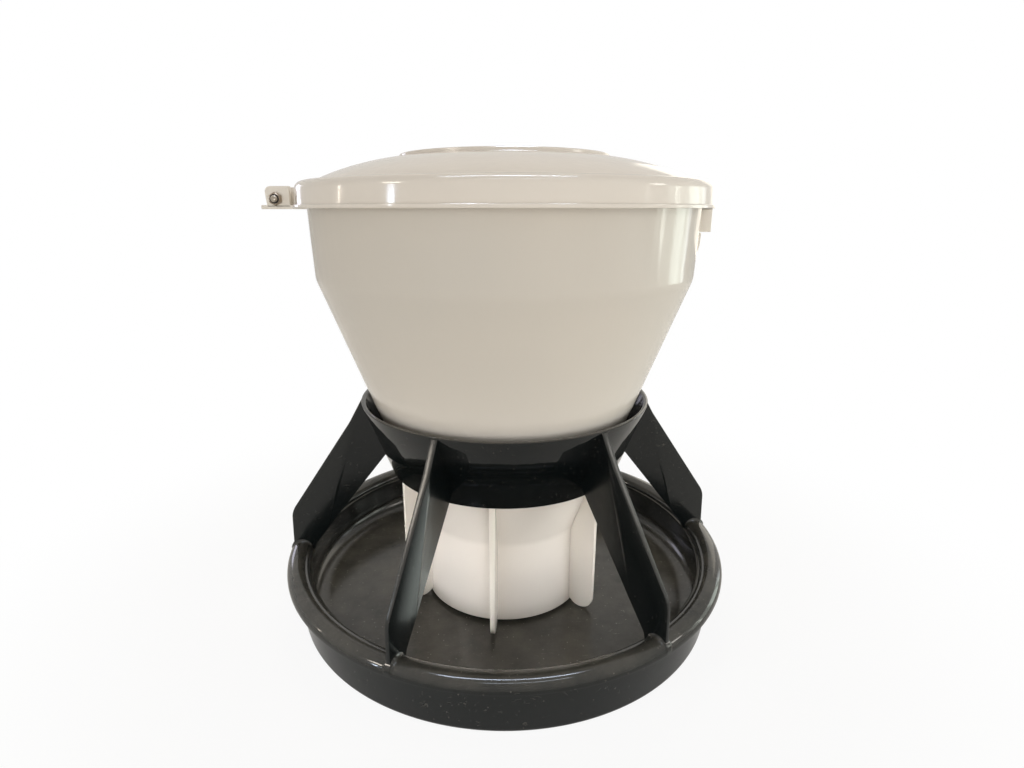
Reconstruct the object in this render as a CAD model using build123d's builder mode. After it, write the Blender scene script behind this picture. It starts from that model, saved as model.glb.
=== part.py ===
from build123d import *
from math import ceil, cos, radians, sin
import os

os.makedirs("parts", exist_ok=True)

# A piglet feeder: a round feed pan, a stand of six legs and a collar on its brim, and a hopper with a
# hinged lid. The hopper stands on the pan floor inside the collar and turns when a piglet pushes its
# paddles. Z is up and is the axis of the pan, Z = 0 is the floor, -Y is the front, the hinge is on -X.

# Rounds of the turned shapes, as flats
flat_turn = 30.5
flattened_radius = 25.0

# Feed pan, black polypropylene
pan_base_radius = 142.0
pan_wall_lean = 1.0
pan_wall = 2.6
pan_floor = 2.4
pan_bottom_round = 3.2
pan_inner_round = 14.0
pan_flange_thickness = 1.4
feed_cone_radius = 40.0
feed_cone_top_radius = 13.0
feed_cone_height = 46.0
feed_cone_round = 8.0
floor_bolt_radius = 4.5
bolt_sleeve_wall = 4.0

# Rim of the stand, a half-round channel turned down over the pan wall
rim_reach = 8.0
rim_width = 14.4
rim_top = 39.6
rim_crown = 5.8
rim_skirt = 1.4
rim_wall = 2.0
rim_roof = 3.0
rim_lip = 1.6
rim_channel_taper = 3.0
rim_fit = 0.3

# Collar of the stand, a funnel that steadies the hopper
collar_top = 145.0
collar_top_gap = 5.6
collar_bottom = 96.6
collar_bottom_gap = 5.2
collar_wall = 2.8
collar_edge_bevel = 0.8

# Legs of the stand, drafted plates with a crease down each face
leg_count = 6
first_leg_angle = -113.8
leg_thickness = 4.3
leg_draft = 2.2
crease_rise = 1.0
crease_foot_height = 50.0
leg_kink_out = 9.5
leg_kink_drop = 18.5
leg_bend_height = 62.8
leg_bend_inset = 2.4
leg_foot_inset = 1.6
leg_foot_overhang = 0.8
leg_foot_height = 37.3
leg_root_rise = 8.5

# Hopper, natural polypropylene
hopper_wall = 2.4
hopper_top = 277.0
hopper_flare = 2.2
hopper_kink_height = 225.0
hopper_kink_radius = 117.0
hopper_kink_round = 14.0
tube_radius = 56.0
tube_top = 60.0
tube_bottom = 4.6
tube_top_round = 12.0
hopper_bead = 1.4
hopper_bead_height = 3.0

# Paddles of the hopper, plates with a full round foot
paddle_count = 6
first_paddle_angle = -96.0
paddle_thickness = 4.2
paddle_foot_thickness = 2.8
paddle_collar_gap = 1.2
paddle_floor_gap = 0.3

# Lid
lid_wall = 2.4
lid_skirt_gap = 1.8
lid_skirt_drop = 11.8
lid_skirt_lean = 0.5
lid_flange = 1.9
lid_flange_thickness = 2.0
lid_shoulder_rise = 3.0
lid_shoulder_width = 9.3
lid_shoulder_round = 4.8
lid_groove = 0.5
lid_disc_radius = 64.0
lid_dome_rise = 14.3
lid_dome_sag = 2.7
lid_disc_rise = 2.2
lid_disc_crown = 2.2
lid_seat_width = 2.0

# Hinge of the lid
hinge_bolt_radius = 2.0
hinge_bolt_fit = 0.08
hinge_reach = 13.6
hinge_rise = 5.6
ear_spacing = 17.6
ear_thickness = 4.2
ear_height = 11.0
ear_outer_reach = 6.9
ear_inner_reach = 8.2
ear_round = 3.8
shelf_thickness = 2.4
shelf_overhang = 2.7
knuckle_radius = 5.0
knuckle_fit = 0.4
knuckle_web_rise = 4.0
hinge_flats = 7.0
hinge_head_height = 2.8
hinge_nut_height = 3.2
hinge_bolt_end = 1.3

# Latch of the lid, opposite the hinge
latch_reach = 2.8
latch_plate = 2.4
latch_cheek = 2.2
latch_cheek_gap = 0.8
latch_nib_depth = 1.8
latch_nib_height = 2.4
latch_web_gap = 0.4
latch_fit = 0.35
latch_round = 0.8
catch_width = 16.0
catch_height = 9.0
catch_drop = 2.2
gusset_thickness = 4.0
gusset_lip = 3.0
gusset_knee_drop = 13.5
gusset_knee_reach = 5.4
gusset_drop = 28.0

# Sizes that follow
pan_brim_radius = pan_base_radius + pan_wall_lean
rim_outer_radius = pan_brim_radius + rim_reach
rim_inner_radius = rim_outer_radius - rim_width
rim_lip_radius = rim_inner_radius - rim_lip
rim_spring = rim_top - rim_crown
rim_bottom = rim_spring - rim_skirt
rim_seat = rim_top - rim_roof
hopper_top_radius = hopper_kink_radius + hopper_flare
cone_lean = (hopper_kink_radius - tube_radius) / (hopper_kink_height - tube_top)
collar_top_radius = tube_radius + cone_lean * (collar_top - tube_top) + collar_top_gap + collar_wall
collar_bottom_radius = tube_radius + cone_lean * (collar_bottom - tube_top) + collar_bottom_gap + collar_wall
paddle_radius = collar_bottom_radius - collar_wall - paddle_collar_gap
lid_bottom = hopper_top - lid_skirt_drop
lid_inner_radius = hopper_top_radius + hopper_bead + lid_skirt_gap
lid_radius = lid_inner_radius + lid_wall
lid_shoulder_top = hopper_top + lid_shoulder_rise
lid_dome_radius = lid_radius - lid_shoulder_width
shelf_top = lid_bottom + lid_flange_thickness
hinge_x = -lid_radius - hinge_reach
hinge_z = lid_bottom + hinge_rise
ear_face = ear_spacing / 2 + ear_thickness
latch_outside = lid_radius + latch_reach
latch_inside = latch_outside - latch_plate
latch_width = catch_width + 2 * (latch_cheek_gap + latch_cheek)
catch_top = lid_bottom - catch_drop
catch_bottom = catch_top - catch_height


# The outline of a turned shape, with each small round drawn as a few short flats
def flattened(outline):
    with BuildSketch() as flat_outline:
        with BuildLine():
            for edge in outline.edges():
                turn = (edge % 0).get_angle(edge % 1)
                steps = max(1, ceil(turn / flat_turn))
                if edge.geom_type == GeomType.LINE or edge.length < flattened_radius * radians(turn):
                    Polyline(*[edge @ (step / steps) for step in range(steps + 1)])
                else:
                    add(edge)
        make_face()
    return flat_outline.sketch


# Feed pan: a deep dish with a hollow feed cone in the middle and a sleeve in it for the floor bolt
with BuildSketch() as pan_outline:
    with BuildLine():
        Polyline(
            (0, 0),
            (pan_base_radius, 0),
            (pan_brim_radius, rim_seat),
            (pan_brim_radius - pan_wall, rim_seat),
            (pan_base_radius - pan_wall, pan_floor),
            (feed_cone_radius, pan_floor),
            (feed_cone_top_radius, feed_cone_height),
            (0, feed_cone_height),
            close=True,
        )
    make_face()
    for corner, corner_round in (
        ((pan_base_radius - pan_wall, pan_floor), pan_inner_round),
        ((pan_base_radius, 0), pan_bottom_round),
        ((feed_cone_radius, pan_floor), feed_cone_round),
    ):
        fillet(pan_outline.vertices().sort_by_distance(corner)[0], corner_round)

with BuildPart() as feed_pan:
    with BuildSketch(Plane.XZ):
        add(flattened(pan_outline.sketch))
    revolve(axis=Axis.Z)
    # Small flange outside the wall, which centres the stand's rim
    with BuildSketch(Plane.XY.offset(rim_bottom)):
        Circle(rim_outer_radius - rim_wall - rim_fit)
        Circle(pan_brim_radius - pan_wall / 2, mode=Mode.SUBTRACT)
    extrude(amount=pan_flange_thickness)
    # Hollow under the feed cone, around the sleeve
    sleeve_radius = floor_bolt_radius + bolt_sleeve_wall
    hollow_top = feed_cone_height - 2 * pan_wall
    with BuildSketch(Plane.XZ):
        with BuildLine():
            Polyline(
                (sleeve_radius, 0),
                (feed_cone_radius - pan_wall, 0),
                (feed_cone_top_radius - pan_wall / 2, hollow_top),
                (sleeve_radius, hollow_top),
                close=True,
            )
        make_face()
    revolve(axis=Axis.Z, mode=Mode.SUBTRACT)
    with Locations((0, 0, feed_cone_height)):
        Hole(floor_bolt_radius)

feed_pan.part.label = "feed_pan"
export_step(feed_pan.part, "parts/feed_pan.step")


# One leg, in the XZ plane with X as its radius. Its upper end runs down the collar as a rib, kinks
# outwards, and bends upright over the rim. The crease runs from the kink to the inner foot.
collar_lean = (collar_top_radius - collar_bottom_radius) / (collar_top - collar_bottom)
leg_top = collar_top - collar_edge_bevel
leg_top_radius = collar_top_radius - collar_lean * collar_edge_bevel
kink = Vector(collar_top_radius + leg_kink_out, 0, collar_top - leg_kink_drop)
bend = Vector(rim_outer_radius - leg_bend_inset, 0, leg_bend_height)
foot_radius = rim_outer_radius - leg_foot_inset
inner_foot = Vector(rim_lip_radius - leg_foot_overhang, 0, leg_foot_height)
root = Vector(collar_bottom_radius + collar_lean * leg_root_rise, 0, collar_bottom + leg_root_rise)
crease_start = kink + (Vector(leg_top_radius, 0, leg_top) - kink).normalized() * crease_rise
crease_end = root + (inner_foot - root) * ((root.Z - crease_foot_height) / (root.Z - inner_foot.Z))
crease = crease_end - crease_start
outwards = Vector(-crease.Z, 0, crease.X).normalized()

with BuildPart() as leg:
    with BuildSketch(Plane.XZ):
        with BuildLine():
            Polyline(
                (leg_top_radius - collar_wall / 2, leg_top),
                (leg_top_radius, leg_top),
                (kink.X, kink.Z),
                (bend.X, bend.Z),
                (foot_radius, rim_spring),
                (rim_inner_radius + rim_wall / 2, rim_spring),
                (rim_inner_radius, rim_spring - rim_skirt / 2),
                (rim_lip_radius, rim_spring - rim_skirt / 2),
                (inner_foot.X, inner_foot.Z),
                (root.X, root.Z),
                (root.X - collar_wall / 2, root.Z),
                close=True,
            )
        make_face()
    extrude(amount=leg_thickness / 2, both=True)
    for side in (1, -1):
        draft_normal = Vector(0, side, 0) * cos(radians(leg_draft)) + outwards * sin(radians(leg_draft))
        crease_on_face = crease_start + Vector(0, side * leg_thickness / 2, 0)
        with Locations(Plane(origin=crease_on_face, x_dir=crease, z_dir=draft_normal)):
            Box(
                4 * collar_top,
                4 * collar_top,
                4 * leg_thickness,
                align=(Align.CENTER, Align.CENTER, Align.MIN),
                mode=Mode.SUBTRACT,
            )


# Stand: the rim, the collar and the legs are one moulding
with BuildSketch() as rim_outline:
    with BuildLine():
        crown_middle = rim_outer_radius - rim_width / 2
        EllipticalCenterArc((crown_middle, rim_spring), rim_width / 2, rim_crown, arc_size=180)
        Polyline(
            (rim_inner_radius, rim_spring),
            (rim_lip_radius, rim_spring),
            (rim_lip_radius, rim_bottom),
            (rim_outer_radius, rim_bottom),
            (rim_outer_radius, rim_spring),
        )
    make_face()

with BuildPart() as stand_frame:
    with BuildSketch(Plane.XZ):
        add(flattened(rim_outline.sketch))
    revolve(axis=Axis.Z)
    with BuildSketch(Plane.XZ) as collar_profile:
        with BuildLine():
            Polyline(
                (collar_bottom_radius, collar_bottom),
                (collar_top_radius, collar_top),
                (collar_top_radius - collar_wall, collar_top),
                (collar_bottom_radius - collar_wall, collar_bottom),
                close=True,
            )
        make_face()
        chamfer(collar_profile.vertices().group_by(Axis.Y)[-1], collar_edge_bevel)
    revolve(axis=Axis.Z)
    with PolarLocations(0, leg_count, start_angle=first_leg_angle):
        add(leg.part)
    # Channel under the rim, which takes the pan wall
    channel_inside = rim_inner_radius + rim_wall
    channel_outside = rim_outer_radius - rim_wall
    with BuildSketch(Plane.XZ):
        with BuildLine():
            Polyline(
                (channel_inside, rim_bottom - rim_wall),
                (channel_inside, rim_spring),
                (channel_inside + rim_channel_taper / 2, rim_seat),
                (channel_outside - rim_channel_taper, rim_seat),
                (channel_outside, rim_spring),
                (channel_outside, rim_bottom - rim_wall),
                close=True,
            )
        make_face()
    revolve(axis=Axis.Z, mode=Mode.SUBTRACT)

stand_frame.part.label = "stand_frame"
export_step(stand_frame.part, "parts/stand_frame.step")


# One paddle, in the XZ plane with X as its radius, from the tube out to the collar's throat
paddle_root = tube_radius - hopper_wall / 2
paddle_top = tube_top + (paddle_radius - tube_radius) / cone_lean
foot_round = (paddle_radius - paddle_root) / 2
foot_middle = pan_floor + paddle_floor_gap + foot_round

with BuildSketch() as paddle_outline:
    with BuildLine():
        Polyline(
            (paddle_root, foot_middle),
            (paddle_root, tube_top),
            (paddle_radius - hopper_wall / 2, paddle_top),
            (paddle_radius, paddle_top),
            (paddle_radius, foot_middle),
        )
        CenterArc((paddle_root + foot_round, foot_middle), foot_round, 180, 180)
    make_face()

with BuildPart() as paddle:
    with BuildSketch(Plane.XZ):
        add(flattened(paddle_outline.sketch))
    extrude(amount=paddle_thickness / 2, both=True)
    with BuildSketch(Plane.YZ):
        with BuildLine():
            Polyline(
                (-paddle_foot_thickness / 2, 0),
                (-paddle_thickness / 2, paddle_top),
                (paddle_thickness / 2, paddle_top),
                (paddle_foot_thickness / 2, 0),
                close=True,
            )
        make_face()
    extrude(amount=2 * paddle_radius, mode=Mode.INTERSECT)


# Hopper: drum, cone and tube in one, with its paddles, the hinge's shelf and ears, and the catch
def hopper_outline(inset):
    with BuildSketch() as outline:
        with BuildLine():
            Polyline(
                (0, tube_bottom),
                (tube_radius - inset, tube_bottom),
                (tube_radius - inset, tube_top),
                (hopper_kink_radius - inset, hopper_kink_height),
                (hopper_top_radius - inset, hopper_top),
                (0, hopper_top),
                close=True,
            )
        make_face()
        for corner, corner_round in (
            ((hopper_kink_radius - inset, hopper_kink_height), hopper_kink_round),
            ((tube_radius - inset, tube_top), tube_top_round),
        ):
            fillet(outline.vertices().sort_by_distance(corner)[0], corner_round)
    return flattened(outline.sketch)


with BuildPart() as hopper:
    with BuildSketch(Plane.XZ):
        add(hopper_outline(0))
    revolve(axis=Axis.Z)
    with BuildSketch(Plane.XY.offset(hopper_top)):
        Circle(hopper_top_radius + hopper_bead)
    extrude(amount=-hopper_bead_height)
    with PolarLocations(0, paddle_count, start_angle=first_paddle_angle):
        add(paddle.part)
    # Shelf, level with the lid's flange, with a slot for the lid's knuckle
    shelf_end = hinge_x - ear_outer_reach - shelf_overhang
    ear_front = hinge_x + ear_inner_reach
    with BuildSketch(Plane.XY.offset(shelf_top)):
        with Locations((shelf_end, 0)):
            Rectangle(-shelf_end, 2 * ear_face, align=(Align.MIN, Align.CENTER))
            Rectangle(ear_front - shelf_end, ear_spacing, align=(Align.MIN, Align.CENTER), mode=Mode.SUBTRACT)
    extrude(amount=-shelf_thickness)
    # Two ears on the shelf, with the bore of the hinge bolt
    with BuildSketch(Plane.XZ) as ear_profile:
        with Locations((hinge_x - ear_outer_reach, shelf_top)):
            Rectangle(ear_outer_reach + ear_inner_reach, ear_height, align=(Align.MIN, Align.MIN))
        fillet(ear_profile.vertices().group_by(Axis.Y)[-1].sort_by(Axis.X)[0], ear_round)
    extrude(amount=ear_face, both=True)
    with BuildSketch(Plane.XZ):
        with Locations((hinge_x - ear_outer_reach, shelf_top)):
            Rectangle(ear_outer_reach + ear_inner_reach, ear_height, align=(Align.MIN, Align.MIN))
    extrude(amount=ear_spacing / 2, both=True, mode=Mode.SUBTRACT)
    with BuildSketch(Plane.XZ):
        with Locations((hinge_x, hinge_z)):
            Circle(hinge_bolt_radius + hinge_bolt_fit)
    extrude(amount=ear_face, both=True, mode=Mode.SUBTRACT)
    # Catch for the latch, with a gusset under it
    catch_outside = latch_inside - latch_fit
    with BuildSketch(Plane.XY.offset(catch_bottom)):
        Rectangle(catch_outside, catch_width, align=(Align.MIN, Align.CENTER))
    extrude(amount=catch_height)
    gusset_edge = latch_inside - latch_nib_depth - latch_fit
    with BuildSketch(Plane.XZ):
        with BuildLine():
            Polyline(
                (hopper_kink_radius - hopper_wall, catch_bottom),
                (gusset_edge, catch_bottom),
                (gusset_edge, catch_bottom - gusset_lip),
                (hopper_kink_radius + gusset_knee_reach, catch_bottom - gusset_knee_drop),
                (hopper_kink_radius - hopper_wall, catch_bottom - gusset_drop),
                close=True,
            )
        make_face()
    extrude(amount=gusset_thickness / 2, both=True)
    # Inside of the hopper
    with BuildSketch(Plane.XZ):
        add(hopper_outline(hopper_wall))
    revolve(axis=Axis.Z, mode=Mode.SUBTRACT)

hopper.part.label = "hopper"
export_step(hopper.part, "parts/hopper.step")


# Lid: skirt, shoulder, dome and raised disc
dome_foot = lid_shoulder_top - lid_groove
disc_foot = dome_foot + lid_dome_rise
disc_top = disc_foot + lid_disc_rise
crown_sphere = (lid_disc_radius**2 + lid_disc_crown**2) / (2 * lid_disc_crown)
with BuildSketch() as lid_outline:
    with BuildLine():
        Polyline(
            (0, disc_top + lid_disc_crown),
            (0, lid_bottom),
            (lid_radius + lid_skirt_lean, lid_bottom),
            (lid_radius, lid_shoulder_top),
            (lid_dome_radius + lid_groove, lid_shoulder_top),
            (lid_dome_radius, dome_foot),
        )
        SagittaArc((lid_disc_radius, disc_foot), (lid_dome_radius, dome_foot), lid_dome_sag)
        Line((lid_disc_radius, disc_foot), (lid_disc_radius, disc_top))
        RadiusArc((0, disc_top + lid_disc_crown), (lid_disc_radius, disc_top), crown_sphere)
    make_face()
    fillet(lid_outline.vertices().sort_by_distance((lid_radius, lid_shoulder_top))[0], lid_shoulder_round)

ceiling_height = lid_shoulder_top - lid_wall
ceiling_radius = lid_dome_radius - lid_wall
with BuildSketch() as lid_hollow:
    with BuildLine():
        Polyline(
            (0, disc_foot - lid_wall / 2),
            (0, lid_bottom),
            (lid_inner_radius + lid_skirt_lean, lid_bottom),
            (lid_inner_radius, ceiling_height),
            (ceiling_radius, ceiling_height),
        )
        SagittaArc((lid_disc_radius, disc_foot - lid_wall / 2), (ceiling_radius, ceiling_height), lid_dome_sag)
        Line((0, disc_foot - lid_wall / 2), (lid_disc_radius, disc_foot - lid_wall / 2))
    make_face()
    ceiling_corner = lid_hollow.vertices().sort_by_distance((lid_inner_radius, ceiling_height))[0]
    chamfer(ceiling_corner, lid_shoulder_round - lid_wall)

with BuildPart() as lid:
    with BuildSketch(Plane.XZ):
        add(flattened(lid_outline.sketch))
    revolve(axis=Axis.Z)
    with BuildSketch(Plane.XY.offset(lid_bottom)):
        Circle(lid_radius + lid_flange)
        Rectangle(latch_outside, latch_width, align=(Align.MIN, Align.CENTER))
    extrude(amount=lid_flange_thickness)
    # Inside of the lid, with the ring that rests on the hopper
    with BuildSketch(Plane.XZ):
        add(lid_hollow.sketch)
    revolve(axis=Axis.Z, mode=Mode.SUBTRACT)
    with BuildSketch(Plane.XY.offset(hopper_top)):
        Circle(hopper_top_radius + hopper_bead)
        Circle(hopper_top_radius + hopper_bead - lid_seat_width, mode=Mode.SUBTRACT)
    extrude(amount=lid_shoulder_rise - lid_wall / 2)
    # Notch over the shelf, and the knuckle with its web
    with Locations((hinge_x, 0, lid_bottom)):
        Box(
            -hinge_x - hopper_top_radius,
            2 * (ear_face + knuckle_fit),
            shelf_top - lid_bottom + knuckle_fit,
            align=(Align.MIN, Align.CENTER, Align.MIN),
            mode=Mode.SUBTRACT,
        )
    with BuildSketch(Plane.XZ):
        with Locations((hinge_x, hinge_z)):
            Circle(knuckle_radius)
        with Locations((hinge_x, shelf_top + knuckle_fit)):
            Rectangle(
                -hinge_x - lid_radius + lid_wall / 2,
                hinge_z + knuckle_web_rise - shelf_top - knuckle_fit,
                align=(Align.MIN, Align.MIN),
            )
    extrude(amount=ear_spacing / 2 - knuckle_fit, both=True)
    with BuildSketch(Plane.XZ):
        with Locations((hinge_x, hinge_z)):
            Circle(hinge_bolt_radius + hinge_bolt_fit)
    extrude(amount=ear_spacing, both=True, mode=Mode.SUBTRACT)

lid.part.label = "lid"
export_step(lid.part, "parts/lid.step")


# Latch: a plate that hangs from the lid's tab, with a cheek each side of the catch and a nib under it
with BuildPart() as lid_latch:
    nib_top = catch_bottom - latch_fit
    latch_bottom = nib_top - latch_nib_height
    latch_height = lid_bottom - latch_web_gap - latch_bottom
    cheek_end = hopper_top_radius + hopper_bead + lid_skirt_gap
    with BuildSketch(Plane.XY.offset(latch_bottom)) as latch_plan:
        with Locations((latch_outside, 0)):
            Rectangle(latch_outside - cheek_end, latch_width, align=(Align.MAX, Align.CENTER))
        with Locations((latch_inside, 0)):
            Rectangle(
                latch_inside - cheek_end,
                latch_width - 2 * latch_cheek,
                align=(Align.MAX, Align.CENTER),
                mode=Mode.SUBTRACT,
            )
        fillet(latch_plan.vertices().group_by(Axis.X)[-1], latch_round)
    extrude(amount=latch_height)
    with BuildSketch(Plane.XY.offset(latch_bottom)):
        with Locations((latch_inside, 0)):
            Rectangle(
                latch_nib_depth,
                latch_width - 2 * latch_cheek,
                align=(Align.MAX, Align.CENTER),
            )
    extrude(amount=latch_nib_height)

lid_latch.part.label = "lid_latch"
export_step(lid_latch.part, "parts/lid_latch.step")


# Hinge bolt, hexagon head at the back
with BuildPart() as hinge_bolt:
    with BuildSketch(Plane.XZ.offset(-ear_face)):
        with Locations((hinge_x, hinge_z)):
            Circle(hinge_bolt_radius)
    extrude(amount=2 * ear_face + hinge_nut_height + hinge_bolt_end)
    with BuildSketch(Plane.XZ.offset(-ear_face)):
        with Locations((hinge_x, hinge_z)):
            RegularPolygon(hinge_flats / 2, 6, major_radius=False)
    extrude(amount=-hinge_head_height)

hinge_bolt.part.label = "hinge_bolt"
export_step(hinge_bolt.part, "parts/hinge_bolt.step")


# Hinge nut, against the front ear
with BuildPart() as hinge_nut:
    with BuildSketch(Plane.XZ.offset(ear_face)):
        with Locations((hinge_x, hinge_z)):
            RegularPolygon(hinge_flats / 2, 6, major_radius=False)
            Circle(hinge_bolt_radius, mode=Mode.SUBTRACT)
    extrude(amount=hinge_nut_height)

hinge_nut.part.label = "hinge_nut"
export_step(hinge_nut.part, "parts/hinge_nut.step")
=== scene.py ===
from math import cos, pi, radians, sin, sqrt

import bmesh
import bpy
from mathutils import Matrix, Vector


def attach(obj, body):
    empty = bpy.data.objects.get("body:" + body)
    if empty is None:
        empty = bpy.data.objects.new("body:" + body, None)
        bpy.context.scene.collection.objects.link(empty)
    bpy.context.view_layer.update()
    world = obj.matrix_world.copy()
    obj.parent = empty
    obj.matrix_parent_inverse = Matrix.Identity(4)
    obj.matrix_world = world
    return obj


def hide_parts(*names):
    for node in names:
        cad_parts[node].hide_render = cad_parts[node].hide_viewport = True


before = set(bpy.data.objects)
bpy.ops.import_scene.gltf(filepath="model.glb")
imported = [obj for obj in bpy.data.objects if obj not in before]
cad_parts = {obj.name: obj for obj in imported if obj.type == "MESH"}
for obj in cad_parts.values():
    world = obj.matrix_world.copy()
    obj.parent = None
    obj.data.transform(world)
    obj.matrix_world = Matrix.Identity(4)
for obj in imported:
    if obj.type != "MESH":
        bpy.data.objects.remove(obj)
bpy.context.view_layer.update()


# Feed pan. The real one is an injection-moulded dish of black polypropylene with a hollow cone in the
# middle. It stands on the pen floor, and its wall ends in the channel of the stand's rim.
MM = 0.001


def linear(hex_colour):
    parts = [int(hex_colour[i:i + 2], 16) / 255 for i in (1, 3, 5)]
    return [c / 12.92 if c <= 0.04045 else ((c + 0.055) / 1.055) ** 2.4 for c in parts] + [1.0]


def profile(corners):
    """A flat face in the XZ plane. Each corner is (radius, height, setback of its round)."""
    bm = bmesh.new()
    ring = [bm.verts.new((r, 0, z)) for r, z, setback in corners]
    bm.faces.new(ring)
    for vert, (r, z, setback) in zip(ring, corners):
        if setback:
            bmesh.ops.bevel(
                bm, geom=[vert], offset=setback, offset_type="OFFSET", affect="VERTICES",
                segments=max(3, min(12, round(setback / 0.5))), profile=0.5, material=-1,
            )
    return bm


def turned(corners, steps=256):
    """A ring-shaped body turned round the Z axis from the outline of its wall."""
    bm = profile(corners)
    bmesh.ops.delete(bm, geom=bm.faces[:], context="FACES_ONLY")
    bmesh.ops.spin(
        bm, geom=bm.verts[:] + bm.edges[:], cent=(0, 0, 0), axis=(0, 0, 1),
        angle=2 * pi, steps=steps, use_merge=True,
    )
    bmesh.ops.remove_doubles(bm, verts=bm.verts[:], dist=0.001)
    bmesh.ops.recalc_face_normals(bm, faces=bm.faces[:])
    return bm


def finished(bm, name, body, node, materials, sharp=25):
    """Turns millimetres to metres, makes the object and puts it on its body in place of its CAD node."""
    bmesh.ops.scale(bm, vec=(MM, MM, MM), verts=bm.verts[:])
    for edge in bm.edges:
        edge.smooth = edge.smooth and edge.calc_face_angle(0) < radians(sharp)
    for face in bm.faces:
        face.smooth = True
    mesh = bpy.data.meshes.new(name)
    bm.to_mesh(mesh)
    bm.free()
    piece = bpy.data.objects.new(name, mesh)
    bpy.context.scene.collection.objects.link(piece)
    for material in materials:
        piece.data.materials.append(material)
    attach(piece, body)
    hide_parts(node)
    return piece


def node(tree, kind, settings=None, links=None):
    """Adds one shader node, sets its properties or input values by name, and links sockets into it."""
    added = tree.nodes.new(kind)
    for name, value in (settings or {}).items():
        if isinstance(name, int) or name in added.inputs:
            added.inputs[name].default_value = value
        else:
            setattr(added, name, value)
    for name, socket in (links or {}).items():
        tree.links.new(socket, added.inputs[name])
    return added


def new_material(name):
    material = bpy.data.materials.new(name)
    material.use_nodes = True
    material.node_tree.nodes.clear()
    return material, material.node_tree


# Black polypropylene: nearly black and glossy from a polished mould. Feed dust leaves a warm grey film in
# clouds of about 35 mm on what faces up, with hair scratches and pale grains of feed half a millimetre wide.
def black_polypropylene(name, film, gloss, satin):
    material, tree = new_material(name)
    place = node(tree, "ShaderNodeTexCoord")
    facing = node(tree, "ShaderNodeSeparateXYZ", links={"Vector": place.outputs["Normal"]})
    lies = node(
        tree, "ShaderNodeMapRange", {"From Min": 0.0, "From Max": 0.95, "To Min": 0.05, "To Max": 1.0},
        {"Value": facing.outputs["Z"]},
    )
    clouds = node(
        tree, "ShaderNodeTexNoise", {"Scale": 28.0, "Detail": 8.0, "Roughness": 0.68},
        {"Vector": place.outputs["Object"]},
    )
    cloud_mask = node(
        tree, "ShaderNodeMapRange", {"From Min": 0.30, "From Max": 0.75, "To Min": 0.3 * film, "To Max": film},
        {"Value": clouds.outputs["Fac"]},
    )
    dust = node(
        tree, "ShaderNodeMath", {"operation": "MULTIPLY"},
        {0: cloud_mask.outputs["Result"], 1: lies.outputs["Result"]},
    )
    stretch = node(
        tree, "ShaderNodeMapping", {"Scale": (1.0, 6.0, 2.0), "Rotation": (0.3, 0.2, 0.7)},
        {"Vector": place.outputs["Object"]},
    )
    hairs = node(
        tree, "ShaderNodeTexNoise", {"Scale": 170.0, "Detail": 3.0, "Roughness": 0.7, "Distortion": 1.2},
        {"Vector": stretch.outputs["Vector"]},
    )
    hair_mask = node(
        tree, "ShaderNodeMapRange", {"From Min": 0.64, "From Max": 0.76, "To Min": 0.0, "To Max": 0.8 * film},
        {"Value": hairs.outputs["Fac"]},
    )
    grains = node(tree, "ShaderNodeTexVoronoi", {"Scale": 240.0}, {"Vector": place.outputs["Object"]})
    grain_mask = node(
        tree, "ShaderNodeMapRange", {"From Min": 0.05, "From Max": 0.10, "To Min": film, "To Max": 0.0},
        {"Value": grains.outputs["Distance"]},
    )
    scratched = node(
        tree, "ShaderNodeMath", {"operation": "ADD", "use_clamp": True},
        {0: dust.outputs["Value"], 1: hair_mask.outputs["Result"]},
    )
    marks = node(
        tree, "ShaderNodeMath", {"operation": "ADD", "use_clamp": True},
        {0: scratched.outputs["Value"], 1: grain_mask.outputs["Result"]},
    )
    colour = node(
        tree, "ShaderNodeMix", {"data_type": "RGBA", 6: linear("#060b0c"), 7: linear("#807b70")},
        {"Factor": marks.outputs["Value"]},
    )
    roughness = node(
        tree, "ShaderNodeMapRange", {"From Min": 0.0, "From Max": 0.6, "To Min": gloss, "To Max": satin},
        {"Value": marks.outputs["Value"]},
    )
    orange_peel = node(
        tree, "ShaderNodeTexNoise", {"Scale": 90.0, "Detail": 2.0}, {"Vector": place.outputs["Object"]},
    )
    bump = node(
        tree, "ShaderNodeBump", {"Strength": 0.15, "Distance": 0.0005}, {"Height": orange_peel.outputs["Fac"]},
    )
    plastic = node(
        tree, "ShaderNodeBsdfPrincipled", {"IOR": 1.49},
        {
            "Base Color": colour.outputs[2], "Roughness": roughness.outputs["Result"],
            "Normal": bump.outputs["Normal"],
        },
    )
    node(tree, "ShaderNodeOutputMaterial", links={"Surface": plastic.outputs["BSDF"]})
    return material


pan = turned([
    (4.5, 0, 0.3), (8.5, 0, 0.4), (8.5, 40.8, 0), (11.7, 40.8, 0.5), (37.4, 0, 0.4), (142.0, 0, 3.2),
    (142.9, 32.4, 0), (148.7, 32.4, 0.2), (148.7, 33.8, 0.2), (142.95, 33.8, 0), (143.0, 36.6, 0.3),
    (140.4, 36.6, 0.3), (139.4, 2.4, 14.0), (40, 2.4, 4.4), (13, 46, 1.2), (4.5, 46, 0.5),
])
pan_plastic = black_polypropylene("black_polypropylene_pan", 0.38, 0.08, 0.36)
finished(pan, "pan_dish", "stand", "feed_pan", [pan_plastic])


# Stand. The real one is a single black moulding that snaps over the pan's wall: a half-round rim channel,
# six creased and drafted legs that grow out of it with small fillets, and a funnel-shaped collar.
RIM_OUTSIDE, RIM_INSIDE, RIM_SPRING, RIM_CROWN = 150.95, 136.6, 33.8, 5.8
LEG_COUNT, LEG_START, LEG_THICKNESS = 6, -113.8, 4.3
FOOT_FILLET = 1.8


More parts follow.
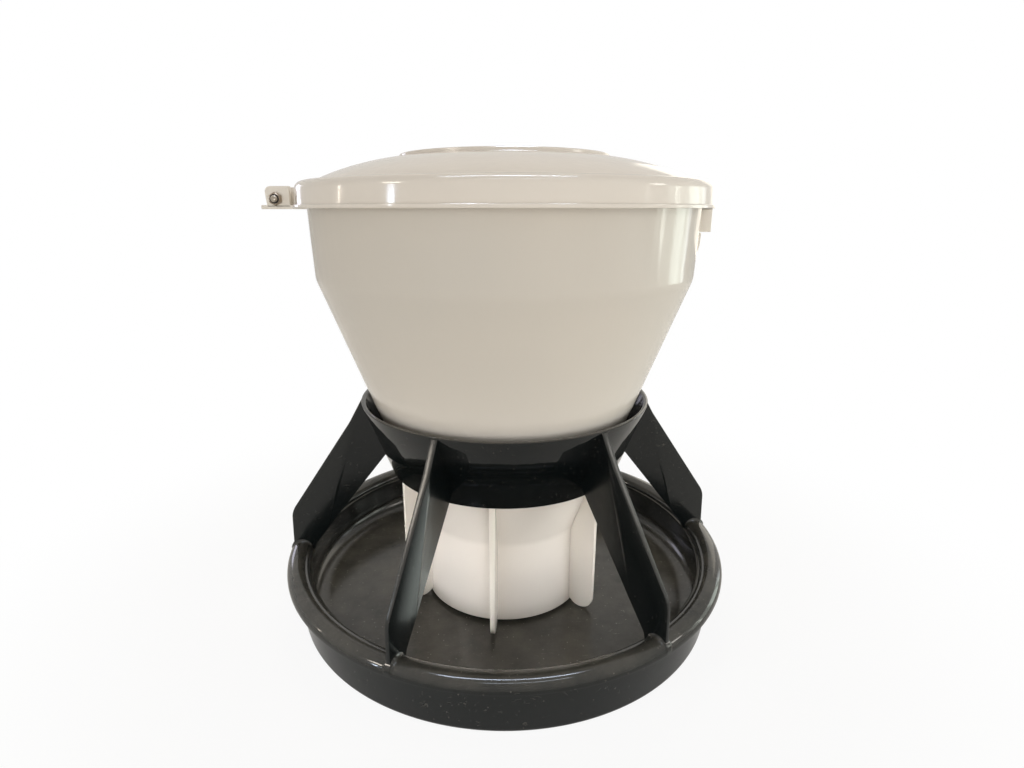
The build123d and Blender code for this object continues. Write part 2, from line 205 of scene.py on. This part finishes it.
def add_to(bm, part):
    """Adds a finished bmesh to another one."""
    mesh = bpy.data.meshes.new("part")
    part.to_mesh(mesh)
    part.free()
    bm.from_mesh(mesh)
    bpy.data.meshes.remove(mesh)


def rim():
    """The rim channel, turned in fine steps where a leg stands, so that its fillets can be drawn out."""
    half = (RIM_OUTSIDE - RIM_INSIDE) / 2
    middle = RIM_OUTSIDE - half
    bm = profile([
        (135.0, 32.4, 0.3), (135.0, 33.8, 0.6), (RIM_INSIDE, 33.8, 0), (RIM_INSIDE, RIM_SPRING + half, half - 0.05),
        (RIM_OUTSIDE, RIM_SPRING + half, half - 0.05), (RIM_OUTSIDE, 32.4, 0.4), (149.0, 32.4, 0.3),
        (149.0, 33.8, 0), (146.0, 36.6, 0), (140.1, 36.6, 0), (138.6, 33.8, 0), (138.6, 32.4, 0.3),
    ])
    bmesh.ops.delete(bm, geom=bm.faces[:], context="FACES_ONLY")
    crown = [v for v in bm.verts if v.co.z > RIM_SPRING + 0.01 and not (138 < v.co.x < 149.5 and v.co.z < 36.7)]
    bmesh.ops.scale(
        bm, vec=(1, 1, RIM_CROWN / half), verts=crown, space=Matrix.Translation((0, 0, -RIM_SPRING)),
    )
    fine, coarse = 5.0, 360.0 / LEG_COUNT - 5.0
    bmesh.ops.rotate(bm, verts=bm.verts[:], cent=(0, 0, 0), matrix=Matrix.Rotation(radians(LEG_START - fine / 2), 3, "Z"))
    section = bm.verts[:] + bm.edges[:]
    for number in range(LEG_COUNT):
        for angle, steps in ((fine, 24), (coarse, 44)):
            section = bmesh.ops.spin(
                bm, geom=section, cent=(0, 0, 0), axis=(0, 0, 1), angle=radians(angle), steps=steps, use_merge=False,
            )["geom_last"]
    bmesh.ops.remove_doubles(bm, verts=bm.verts[:], dist=0.01)
    bmesh.ops.recalc_face_normals(bm, faces=bm.faces[:])
    for number in range(LEG_COUNT):
        turn = Matrix.Rotation(-radians(LEG_START + 360 / LEG_COUNT * number), 3, "Z")
        for vert in bm.verts:
            beside = turn @ vert.co
            gap = abs(beside.y) - 0.4 * LEG_THICKNESS
            if beside.x < RIM_INSIDE - 0.5 or gap > FOOT_FILLET or not vert.co.z > RIM_SPRING or 138.7 < beside.x < 148.9 and vert.co.z < 36.7:
                continue
            rise = FOOT_FILLET - sqrt(FOOT_FILLET**2 - (FOOT_FILLET - max(gap, 0))**2)
            rise *= min(1, (vert.co.z - RIM_SPRING) / RIM_CROWN)
            out = Vector((beside.x - middle, 0, (beside.z - RIM_SPRING) * (half / RIM_CROWN) ** 2)).normalized()
            vert.co = turn.transposed() @ (beside + out * rise)
    return bm


LEG_OUTLINE = [
    (94.1, 144.2, 0), (95.5, 144.2, 0.7), (105.3, 126.5, 1.2), (148.6, 62.8, 4.0), (149.4, 33.8, 0),
    (137.6, 33.8, 0), (136.6, 33.1, 0), (135.0, 33.1, 0), (134.2, 37.3, 1.2), (124.2, 50.0, 1.0),
    (80.7, 105.1, 0.4), (79.3, 105.1, 0),
]
CREASE_TOP, CREASE_FOOT, DRAFT = (104.8, 127.4), (124.2, 50.0), 2.2


def leg():
    """One leg in the XZ plane: a plate whose faces are cut back outside the crease by the mould's draft."""
    bm = profile(LEG_OUTLINE)
    grown = bmesh.ops.extrude_face_region(bm, geom=bm.faces[:])
    bmesh.ops.translate(
        bm, vec=(0, LEG_THICKNESS, 0), verts=[g for g in grown["geom"] if isinstance(g, bmesh.types.BMVert)],
    )
    bmesh.ops.translate(bm, vec=(0, -LEG_THICKNESS / 2, 0), verts=bm.verts[:])
    bmesh.ops.recalc_face_normals(bm, faces=bm.faces[:])
    run = Vector((CREASE_FOOT[0] - CREASE_TOP[0], 0, CREASE_FOOT[1] - CREASE_TOP[1])).normalized()
    outwards = Vector((-run.z, 0, run.x))
    for side in (1, -1):
        cut = bmesh.ops.bisect_plane(
            bm, geom=bm.verts[:] + bm.edges[:] + bm.faces[:], dist=0.0001, clear_outer=True,
            plane_co=(CREASE_TOP[0], side * LEG_THICKNESS / 2, CREASE_TOP[1]),
            plane_no=Vector((0, side, 0)) * cos(radians(DRAFT)) + outwards * sin(radians(DRAFT)),
        )
        rim_edges = [g for g in cut["geom_cut"] if isinstance(g, bmesh.types.BMEdge)]
        bmesh.ops.holes_fill(bm, edges=rim_edges, sides=0)
        for edge in rim_edges:
            if edge.is_valid and all(abs(abs(v.co.y) - LEG_THICKNESS / 2) < 0.01 for v in edge.verts):
                edge.smooth = False
    bmesh.ops.recalc_face_normals(bm, faces=bm.faces[:])
    lengthwise = [
        e for e in bm.edges
        if e.verts[0].co.y * e.verts[1].co.y > 0.1 and e.calc_face_angle(0) > radians(50)
        and min(v.co.x for v in e.verts) > 95 and max(v.co.z for v in e.verts) < 144.1
        and min(v.co.z for v in e.verts) > 33.0
    ]
    bmesh.ops.bevel(
        bm, geom=lengthwise, offset=0.5, offset_type="OFFSET", affect="EDGES", segments=3, profile=0.5, material=-1,
    )
    bmesh.ops.remove_doubles(bm, verts=bm.verts[:], dist=0.03)
    for face in bm.faces:
        face.material_index = 1
    return bm


stand = rim()
add_to(stand, turned([(77.5, 96.6, 0.6), (95.8, 145, 0.8), (93.0, 145, 0.8), (74.7, 96.6, 0.5)]))
for number in range(LEG_COUNT):
    part = leg()
    bmesh.ops.rotate(
        part, verts=part.verts[:], cent=(0, 0, 0),
        matrix=Matrix.Rotation(radians(LEG_START + 360 / LEG_COUNT * number), 3, "Z"),
    )
    add_to(stand, part)
stand_gloss = black_polypropylene("black_polypropylene_rim", 0.30, 0.05, 0.22)
stand_satin = black_polypropylene("black_polypropylene_legs", 0.24, 0.20, 0.34)
finished(stand, "stand_moulding", "stand", "stand_frame", [stand_gloss, stand_satin])


# Hopper. The real one is one moulding of natural polypropylene, milky and slightly translucent: drum,
# cone and tube, with six paddles that the piglets push, the hinge's shelf and ears, and the catch.
# Natural polypropylene: a milky warm grey where the thin wall has the empty hopper behind it, and whiter in the
# solid ribs; the ribs, the lid and the latch are also lighter than the wall as painted light. Low down, the wall
# turns lighter as painted light on the lower cone and the tube, and the paddles a little darker as painted shade. The
# mould was polished, and the wall ripples by a few hundredths over 10 mm.
def natural_polypropylene(name, colour_hex, haze_hex, low_painted_light_hex):
    material, tree = new_material(name)
    place = node(tree, "ShaderNodeTexCoord").outputs["Object"]
    clouds = node(tree, "ShaderNodeTexNoise", {"Scale": 9.0, "Detail": 3.0, "Roughness": 0.45}, {"Vector": place})
    haze = node(
        tree, "ShaderNodeMapRange", {"From Min": 0.3, "From Max": 0.7, "To Min": 0.0, "To Max": 1.0},
        {"Value": clouds.outputs["Fac"]},
    )
    colour = node(
        tree, "ShaderNodeMix", {"data_type": "RGBA", 6: linear(colour_hex), 7: linear(haze_hex)},
        {"Factor": haze.outputs["Result"]},
    )
    # Low down the colour goes over to the last colour given: painted light that lightens the lower cone and the tube,
    # and painted shade that darkens the paddles a little.
    height = node(tree, "ShaderNodeSeparateXYZ", links={"Vector": place})
    low = node(
        tree, "ShaderNodeMapRange", {"From Min": 0.23, "From Max": 0.14, "To Min": 0.0, "To Max": 1.0},
        {"Value": height.outputs["Z"]},
    )
    with_low_painted_light = node(
        tree, "ShaderNodeMix", {"data_type": "RGBA", 7: linear(low_painted_light_hex)},
        {"Factor": low.outputs["Result"], 6: colour.outputs[2]},
    )
    scuffs = node(tree, "ShaderNodeTexNoise", {"Scale": 45.0, "Detail": 5.0, "Roughness": 0.6}, {"Vector": place})
    roughness = node(
        tree, "ShaderNodeMapRange", {"From Min": 0.35, "From Max": 0.7, "To Min": 0.07, "To Max": 0.16},
        {"Value": scuffs.outputs["Fac"]},
    )
    upright = node(tree, "ShaderNodeMapping", {"Scale": (1.0, 1.0, 0.15)}, {"Vector": place})
    ripple = node(
        tree, "ShaderNodeTexNoise", {"Scale": 75.0, "Detail": 3.0}, {"Vector": upright.outputs["Vector"]},
    )
    bump = node(tree, "ShaderNodeBump", {"Strength": 0.5, "Distance": 0.0005}, {"Height": ripple.outputs["Fac"]})
    plastic = node(
        tree, "ShaderNodeBsdfPrincipled", {"IOR": 1.49},
        {
            "Base Color": with_low_painted_light.outputs[2], "Roughness": roughness.outputs["Result"],
            "Normal": bump.outputs["Normal"],
        },
    )
    node(tree, "ShaderNodeOutputMaterial", links={"Surface": plastic.outputs["BSDF"]})
    return material


def slab(outline, low, high, plane, edge_round=0.0):
    """A plate: its outline in a plane, each corner with a setback, drawn from one level to another."""
    bm = bmesh.new()
    ring = [bm.verts.new({"XY": (a, b, low), "XZ": (a, low, b)}[plane]) for a, b, setback in outline]
    bm.faces.new(ring)
    for vert, (a, b, setback) in zip(ring, outline):
        if setback:
            bmesh.ops.bevel(
                bm, geom=[vert], offset=setback, offset_type="OFFSET", affect="VERTICES",
                segments=max(3, min(12, round(setback / 0.5))), profile=0.5, material=-1,
            )
    grown = bmesh.ops.extrude_face_region(bm, geom=bm.faces[:])
    lift = {"XY": (0, 0, high - low), "XZ": (0, high - low, 0)}[plane]
    bmesh.ops.translate(bm, vec=lift, verts=[g for g in grown["geom"] if isinstance(g, bmesh.types.BMVert)])
    bmesh.ops.recalc_face_normals(bm, faces=bm.faces[:])
    if edge_round:
        bmesh.ops.bevel(
            bm, geom=[e for e in bm.edges if e.calc_face_angle(0) > radians(50)], offset=edge_round,
            offset_type="OFFSET", affect="EDGES", segments=3, profile=0.5, material=-1,
        )
    return bm


hopper = turned([
    (56, 4.6, 0.6), (56, 60, 2.2), (117, 225, 2.2), (119.1, 274, 0.3), (120.6, 274, 0.4), (120.6, 277, 0.6),
    (116.8, 277, 0.6), (114.6, 225, 2.0), (53.6, 60, 1.8), (53.6, 4.6, 0.6),
])
PADDLE_TOP, PADDLE_DRAFT = 107.3, 1.4 / 4.2


def add_rib(bm, part):
    """Adds a solid rib to the hopper, in the ribs' material: whiter because the rib is solid, and also as painted
    light.
    """
    for face in part.faces:
        face.material_index = 1
    add_to(bm, part)


for number in range(6):
    paddle = slab(
        [(54.8, 2.7, 9.3), (54.8, 60, 0), (72.3, PADDLE_TOP, 0), (73.5, PADDLE_TOP, 0), (73.5, 2.7, 9.3)],
        -2.1, 2.1, "XZ",
    )
    for vert in paddle.verts:
        vert.co.y *= 1 - PADDLE_DRAFT * (1 - vert.co.z / PADDLE_TOP)
    rounded = [e for e in paddle.edges if e.calc_face_angle(0) > radians(50) and min(v.co.x for v in e.verts) > 56.5]
    bmesh.ops.bevel(
        paddle, geom=rounded, offset=0.6, offset_type="OFFSET", affect="EDGES", segments=3, profile=0.5, material=-1,
    )
    bmesh.ops.remove_doubles(paddle, verts=paddle.verts[:], dist=0.02)
    bmesh.ops.rotate(
        paddle, verts=paddle.verts[:], cent=(0, 0, 0), matrix=Matrix.Rotation(radians(-96 + 60 * number), 3, "Z"),
    )
    add_rib(hopper, paddle)
add_rib(hopper, slab(
    [(-148, -13, 0.6), (-117.8, -13, 0), (-117.8, 13, 0), (-148, 13, 0.6), (-148, 8.8, 0.6), (-130.2, 8.8, 0.6),
     (-130.2, -8.8, 0.6), (-148, -8.8, 0.6)], 264.8, 267.2, "XY", 0.4,
))
for low, high in ((-13.0, -8.8), (8.8, 13.0)):
    ear = [(-144.2, 266, 0), (-145.3, 278.2, 3.8), (-130.2, 278.2, 0.6), (-130.2, 266, 0)]
    add_rib(hopper, slab(ear, low, high, "XZ", 0.4))
add_rib(hopper, slab([(116.8, -8, 0), (124.85, -8, 0), (124.85, 8, 0), (116.8, 8, 0)], 254, 263, "XY", 0.5))
gusset = [
    (116.2, 254.6, 0), (123.05, 254.6, 0), (123.05, 250.6, 0), (124.5, 250.2, 0.5), (124.2, 241.0, 3.0), (115.7, 226, 0),
]
add_rib(hopper, slab(gusset, -2, 2, "XZ", 0.4))
# The wall's last colour is painted light on the lower cone and the tube. The ribs' colours are lighter than the wall
# partly as painted light, and their last one is a painted shade on the paddles.
hopper_plastic = natural_polypropylene("natural_polypropylene_wall", "#d9d1c5", "#d3cdc3", "#e4ddd2")
rib_plastic = natural_polypropylene("natural_polypropylene_ribs", "#f4ede2", "#efe9de", "#efe8dc")
finished(hopper, "hopper_moulding", "hopper", "hopper", [hopper_plastic, rib_plastic])


# Lid. The real one is moulded in the same natural polypropylene: a flange, a skirt that drops over the
# hopper, a rounded shoulder, a low dome and a raised disc. It swings on a knuckle between the ears.
HINGE_X, HINGE_Z = -138.4, 270.8

lid = turned([
    (125.2, 267.5, 0), (124.8, 280.0, 4.8), (116.0, 280.0, 0.3), (115.5, 279.5, 0.25), (91.2, 291.9, 26.0),
    (64, 293.8, 0.5), (64, 296.0, 0.8), (32, 298.2, 30.0), (0, 298.2, 0), (0, 292.6, 0), (64, 292.6, 0.3),
    (89.9, 289.9, 22.0), (113.1, 277.6, 0.3), (118.6, 277.6, 0), (118.6, 277.0, 0.2), (120.6, 277.0, 0.2),
    (122.5, 275.2, 0.3), (122.85, 267.5, 0),
])
# The flange stops each side of the hinge, where the lid is notched for the hopper's shelf.
flange = profile([
    (122.9, 265.2, 0.3), (126.7, 265.2, 0.4), (126.7, 267.2, 0.5), (125.25, 267.2, 0), (125.2, 267.6, 0),
    (122.85, 267.6, 0),
])
notch = 6.1
bmesh.ops.rotate(flange, verts=flange.verts[:], cent=(0, 0, 0), matrix=Matrix.Rotation(radians(180 + notch), 3, "Z"))
bmesh.ops.spin(
    flange, geom=flange.verts[:] + flange.edges[:] + flange.faces[:], cent=(0, 0, 0), axis=(0, 0, 1),
    angle=radians(360 - 2 * notch), steps=250, use_merge=False,
)
bmesh.ops.recalc_face_normals(flange, faces=flange.faces[:])
add_to(lid, flange)
add_to(lid, slab([(123.4, -11, 0), (127.6, -11, 0.8), (127.6, 11, 0.8), (123.4, 11, 0)], 265.2, 267.2, "XY", 0.3))


def on_hinge(corners, steps=48):
    """A body turned round the hinge's axis. Its corners are (radius, distance towards the front, setback)."""
    bm = turned(corners, steps)
    bmesh.ops.rotate(bm, verts=bm.verts[:], cent=(0, 0, 0), matrix=Matrix.Rotation(radians(90), 3, "X"))
    bmesh.ops.translate(bm, vec=(HINGE_X, 0, HINGE_Z), verts=bm.verts[:])
    return bm


add_to(lid, on_hinge([(2.08, -8.4, 0.2), (5.0, -8.4, 0.4), (5.0, 8.4, 0.4), (2.08, 8.4, 0.2)]))
web = [(HINGE_X + 4.4, 267.6, 0), (-123.6, 267.6, 0), (-123.6, 274.8, 0), (HINGE_X + 2.9, 274.8, 0)]
add_to(lid, slab(web, -8.4, 8.4, "XZ", 0.3))
# The lid's colours are lighter than the hopper's wall as painted light.
lid_plastic = natural_polypropylene("natural_polypropylene_lid", "#e9e1d6", "#e6ded3", "#e9e1d6")
finished(lid, "lid_moulding", "lid", "lid", [lid_plastic])


# Latch. The real one is moulded with the lid and hangs from its tab on a thin web that bends: a plate with
# a cheek each side of the hopper's catch, and a nib that snaps under it.
latch = slab(
    [(127.6, -11, 0.8), (127.6, 11, 0.8), (119.4, 11, 0.5), (119.4, 8.8, 0.5), (125.2, 8.8, 0.4),
     (125.2, -8.8, 0.4), (119.4, -8.8, 0.5), (119.4, -11, 0.5)], 251.25, 264.8, "XY", 0.25,
)
nib = [(123.4, 252.6, 0.3), (123.4, 253.65, 0.2), (125.6, 253.65, 0), (125.6, 251.25, 0), (124.6, 251.25, 0.4)]
add_to(latch, slab(nib, -8.9, 8.9, "XZ"))
add_to(latch, slab([(127.2, 264.5, 0), (127.6, 264.5, 0), (127.6, 265.4, 0), (127.2, 265.4, 0)], -10.4, 10.4, "XZ"))
# The latch's colours are lighter than the hopper's wall as painted light.
latch_plastic = natural_polypropylene("natural_polypropylene_latch", "#f6efe4", "#f1eade", "#f6efe4")
finished(latch, "latch_moulding", "latch", "lid_latch", [latch_plastic])


# Hinge bolt. The real one is an M4 hexagon bolt of zinc-plated steel. Its head is at the back ear, and the
# last threads stand out of the nut at the front.
# Zinc-plated steel: pale warm grey metal with a fine cloudy sheen from the plating bath.
def zinc_plated_steel(name, colour_hex):
    material, tree = new_material(name)
    place = node(tree, "ShaderNodeTexCoord").outputs["Object"]
    bloom = node(tree, "ShaderNodeTexNoise", {"Scale": 900.0, "Detail": 3.0}, {"Vector": place})
    roughness = node(
        tree, "ShaderNodeMapRange", {"From Min": 0.3, "From Max": 0.7, "To Min": 0.22, "To Max": 0.42},
        {"Value": bloom.outputs["Fac"]},
    )
    steel = node(
        tree, "ShaderNodeBsdfPrincipled", {"Metallic": 1.0, "Base Color": linear(colour_hex)},
        {"Roughness": roughness.outputs["Result"]},
    )
    node(tree, "ShaderNodeOutputMaterial", links={"Surface": steel.outputs["BSDF"]})
    return material


def hexagon(flats, back, front, collar_radius):
    """A hexagon across the hinge's axis, with the corners of its front turned off."""
    bm = bmesh.new()
    bmesh.ops.create_cone(
        bm, cap_ends=True, segments=6, radius1=flats / sqrt(3), radius2=flats / sqrt(3), depth=front - back,
    )
    bmesh.ops.bevel(
        bm, geom=[e for e in bm.edges if e.calc_face_angle(0) > radians(50)], offset=0.25, offset_type="OFFSET",
        affect="EDGES", segments=3, profile=0.5, material=-1,
    )
    bmesh.ops.translate(bm, vec=(0, 0, (front + back) / 2), verts=bm.verts[:])
    if collar_radius:
        add_to(bm, collar_radius)
    bmesh.ops.rotate(bm, verts=bm.verts[:], cent=(0, 0, 0), matrix=Matrix.Rotation(radians(90), 3, "X"))
    bmesh.ops.translate(bm, vec=(HINGE_X, 0, HINGE_Z), verts=bm.verts[:])
    return bm


bolt = on_hinge([
    (0, -13.5, 0), (2.0, -13.5, 0), (2.0, 15.9, 0), (1.7, 16.2, 0), (2.0, 16.5, 0), (1.7, 16.85, 0), (2.0, 17.1, 0),
    (1.5, 17.5, 0), (0.9, 17.5, 0.1), (0, 17.1, 0),
])
add_to(bolt, hexagon(7.0, -15.8, -13.0, None))
bolt_steel = zinc_plated_steel("zinc_plated_steel_bolt", "#b8aea0")
finished(bolt, "bolt_m4", "hopper", "hinge_bolt", [bolt_steel])


# Hinge nut. The real one is an M4 lock nut of the same steel, with a round collar, and a dark ring sits
# round the thread.
nut_collar = turned(
    [(2.0, 15.2, 0), (3.3, 15.2, 0), (3.3, 16.2, 0.4), (2.8, 16.2, 0.1), (2.8, 15.7, 0), (2.0, 15.7, 0)], 48,
)
nut = hexagon(7.0, 13.0, 15.4, nut_collar)
nut_steel = zinc_plated_steel("zinc_plated_steel_nut", "#a89a8a")
finished(nut, "nut_m4", "hopper", "hinge_nut", [nut_steel])
ring = on_hinge([(1.9, 15.6, 0), (2.85, 15.6, 0), (2.85, 16.1, 0.1), (1.9, 16.0, 0.1)])
ring_material, ring_tree = new_material("dark_nut_ring")
ring_surface = node(
    ring_tree, "ShaderNodeBsdfPrincipled", {"Base Color": linear("#1a1414"), "Roughness": 0.45, "IOR": 1.53},
)
node(ring_tree, "ShaderNodeOutputMaterial", links={"Surface": ring_surface.outputs["BSDF"]})
finished(ring, "nut_ring", "hopper", "hinge_nut", [ring_material])


# Floor, lamps and camera. The real feeder stands on a table in a light hall and is cut out on white.
def seen_directly(tree, in_gloss):
    """One for rays from the camera and through glass, a share for gloss, and zero for the light on the object."""
    path = node(tree, "ShaderNodeLightPath")
    gloss = node(
        tree, "ShaderNodeMath", {"operation": "MULTIPLY_ADD", 1: in_gloss},
        {0: path.outputs["Is Glossy Ray"], 2: path.outputs["Is Camera Ray"]},
    )
    return node(
        tree, "ShaderNodeMath", {"operation": "MAXIMUM"},
        {0: gloss.outputs["Value"], 1: path.outputs["Is Transmission Ray"]},
    ).outputs["Value"]


floor_material, floor_tree = new_material("pale_floor")
floor_diffuse = node(floor_tree, "ShaderNodeBsdfDiffuse", {"Color": linear("#dddbd6"), "Roughness": 0.6})
floor_white = node(floor_tree, "ShaderNodeEmission", {"Color": (1, 1, 1, 1), "Strength": 1.0})
floor_place = node(floor_tree, "ShaderNodeTexCoord")
floor_distance = node(
    floor_tree, "ShaderNodeVectorMath", {"operation": "LENGTH"}, {"Vector": floor_place.outputs["Object"]},
)
floor_fade = node(
    floor_tree, "ShaderNodeMapRange",
    {"interpolation_type": "SMOOTHSTEP", "From Min": 0.15, "From Max": 0.42, "To Min": 0.9, "To Max": 1.0},
    {"Value": floor_distance.outputs["Value"]},
)
floor_share = node(
    floor_tree, "ShaderNodeMath", {"operation": "MULTIPLY"},
    {0: seen_directly(floor_tree, 0.22), 1: floor_fade.outputs["Result"]},
)
floor_mix = node(
    floor_tree, "ShaderNodeMixShader",
    links={"Fac": floor_share.outputs["Value"], 1: floor_diffuse.outputs["BSDF"], 2: floor_white.outputs["Emission"]},
)
node(floor_tree, "ShaderNodeOutputMaterial", links={"Surface": floor_mix.outputs["Shader"]})
floor_mesh = bpy.data.meshes.new("floor")
floor = bpy.data.objects.new("floor", floor_mesh)
bm = bmesh.new()
bmesh.ops.create_grid(bm, x_segments=1, y_segments=1, size=6.0)
bm.to_mesh(floor_mesh)
bm.free()
floor.data.materials.append(floor_material)
bpy.context.scene.collection.objects.link(floor)

world = bpy.data.worlds.new("hall")
bpy.context.scene.world = world
world.use_nodes = True
sky = world.node_tree
sky.nodes.clear()
sky_place = node(sky, "ShaderNodeTexCoord")
sky_height = node(sky, "ShaderNodeSeparateXYZ", links={"Vector": sky_place.outputs["Generated"]})
sky_level = node(
    sky, "ShaderNodeMapRange", {"From Min": -0.1, "From Max": 0.8, "To Min": 0.50, "To Max": 0.52},
    {"Value": sky_height.outputs["Z"]},
)
sky_soft = node(sky, "ShaderNodeBackground", {"Color": linear("#fdf8f0")}, {"Strength": sky_level.outputs["Result"]})
sky_white = node(sky, "ShaderNodeBackground", {"Color": (1, 1, 1, 1), "Strength": 1.0})
sky_mix = node(
    sky, "ShaderNodeMixShader",
    links={"Fac": seen_directly(sky, 0.4), 1: sky_soft.outputs["Background"], 2: sky_white.outputs["Background"]},
)
node(sky, "ShaderNodeOutputWorld", links={"Surface": sky_mix.outputs["Shader"]})


def window(name, azimuth, height, distance, width, tall, watts, colour_hex, diffuse=True, glossy=True):
    """A lamp like a window of the hall, which faces the middle of the feeder."""
    lamp = bpy.data.lights.new(name, "AREA")
    lamp.shape = "RECTANGLE"
    lamp.size, lamp.size_y = width, tall
    lamp.energy = watts
    lamp.color = linear(colour_hex)[:3]
    holder = bpy.data.objects.new(name, lamp)
    holder.location = (distance * cos(radians(azimuth)), distance * sin(radians(azimuth)), height)
    holder.rotation_mode = "QUATERNION"
    holder.rotation_quaternion = (Vector((0, 0, 0.15)) - holder.location).to_track_quat("-Z", "Y")
    holder.visible_camera = False
    holder.visible_diffuse, holder.visible_glossy = diffuse, glossy
    bpy.context.scene.collection.objects.link(holder)
    return holder


window("window_left", -145.6, 0.44, 1.5, 0.03, 0.20, 0.9, "#dcebff")
window("window_far_left", -178.5, 0.42, 1.5, 0.03, 0.16, 0.4, "#fff2e0")
window("window_back_left", 134, 0.40, 1.5, 0.30, 0.30, 0.9, "#eceaff")
window("window_right_streak", 4, 0.20, 1.3, 0.03, 0.50, 0.2, "#fbfff4", diffuse=False)
window("window_right_front", -18, 0.20, 1.3, 0.04, 0.50, 0.2, "#fbfff4", diffuse=False)
window("window_right", 14, 0.20, 1.3, 0.80, 0.50, 1.4, "#f2fff0")
window("window_right_middle", 20, 0.20, 1.3, 0.26, 0.50, 0.7, "#f2fff6")
window("window_right_back", 31, 0.16, 1.3, 0.12, 0.50, 0.25, "#f2fbff")
window("window_back_right", 58, 0.42, 1.3, 0.60, 0.60, 1.2, "#fff6e4", diffuse=False)
window("window_high_left", -147, 0.80, 1.25, 0.25, 0.20, 2.6, "#fff4e6", diffuse=False)
window("window_high_right", -9, 0.60, 1.25, 0.20, 0.20, 0.8, "#fffaf2", diffuse=False)
window("roof_light_front", -75, 1.30, 0.65, 0.7, 0.03, 1.3, "#e2eeff", diffuse=False)
window("roof_light_over", -80, 1.45, 0.05, 0.9, 0.08, 7.0, "#dce9ff", diffuse=False)
window("roof_light_back", 90, 1.20, 0.75, 1.0, 0.30, 7.2, "#fff9f0", glossy=False)
window("hall_front", -92, 0.25, 1.3, 1.6, 0.8, 3.5, "#fbfbff", glossy=False)
window("hall_right", -15, 0.35, 1.2, 0.9, 0.9, 4.0, "#f6fbff", glossy=False)
window("floor_bounce", -92, 0.06, 0.9, 1.2, 0.10, 0.9, "#fffdf8", glossy=False)
for number, watts in enumerate((0.028, 0.032, 0.036, 0.036, 0.036, 0.060)):
    azimuth = LEG_START + 30 + 360 / LEG_COUNT * number
    fill = window("fill_%d" % number, azimuth, 0.15, 0.42, 0.22, 0.08, watts, "#fcfbff", glossy=False)
    fill.rotation_quaternion = (Vector((0, 0, 0.01)) - fill.location).to_track_quat("-Z", "Y")
    fill.data.spread = radians(38)
# The bright front of the tube is mirrored in the left front leg.
leg_glint = window("leg_glint", -88, 0.055, 0.078, 0.06, 0.09, 0.0034, "#f4fff8", diffuse=False)
leg_glint.rotation_quaternion = (Vector((-0.052, -0.118, 0.08)) - leg_glint.location).to_track_quat("-Z", "Y")
leg_glint.data.spread = radians(50)

camera = bpy.data.cameras.new("camera")
camera.sensor_width = 36.0
camera.lens = 21.29
camera.shift_x = 0.0073
camera.clip_start = 0.01
viewer = bpy.data.objects.new("camera", camera)
viewer.location = (0, -0.39653, 0.26474)
viewer.rotation_euler = (radians(90 - 16.097), 0, 0)
bpy.context.scene.collection.objects.link(viewer)
bpy.context.scene.camera = viewer
bpy.context.scene.view_settings.view_transform = "Standard"
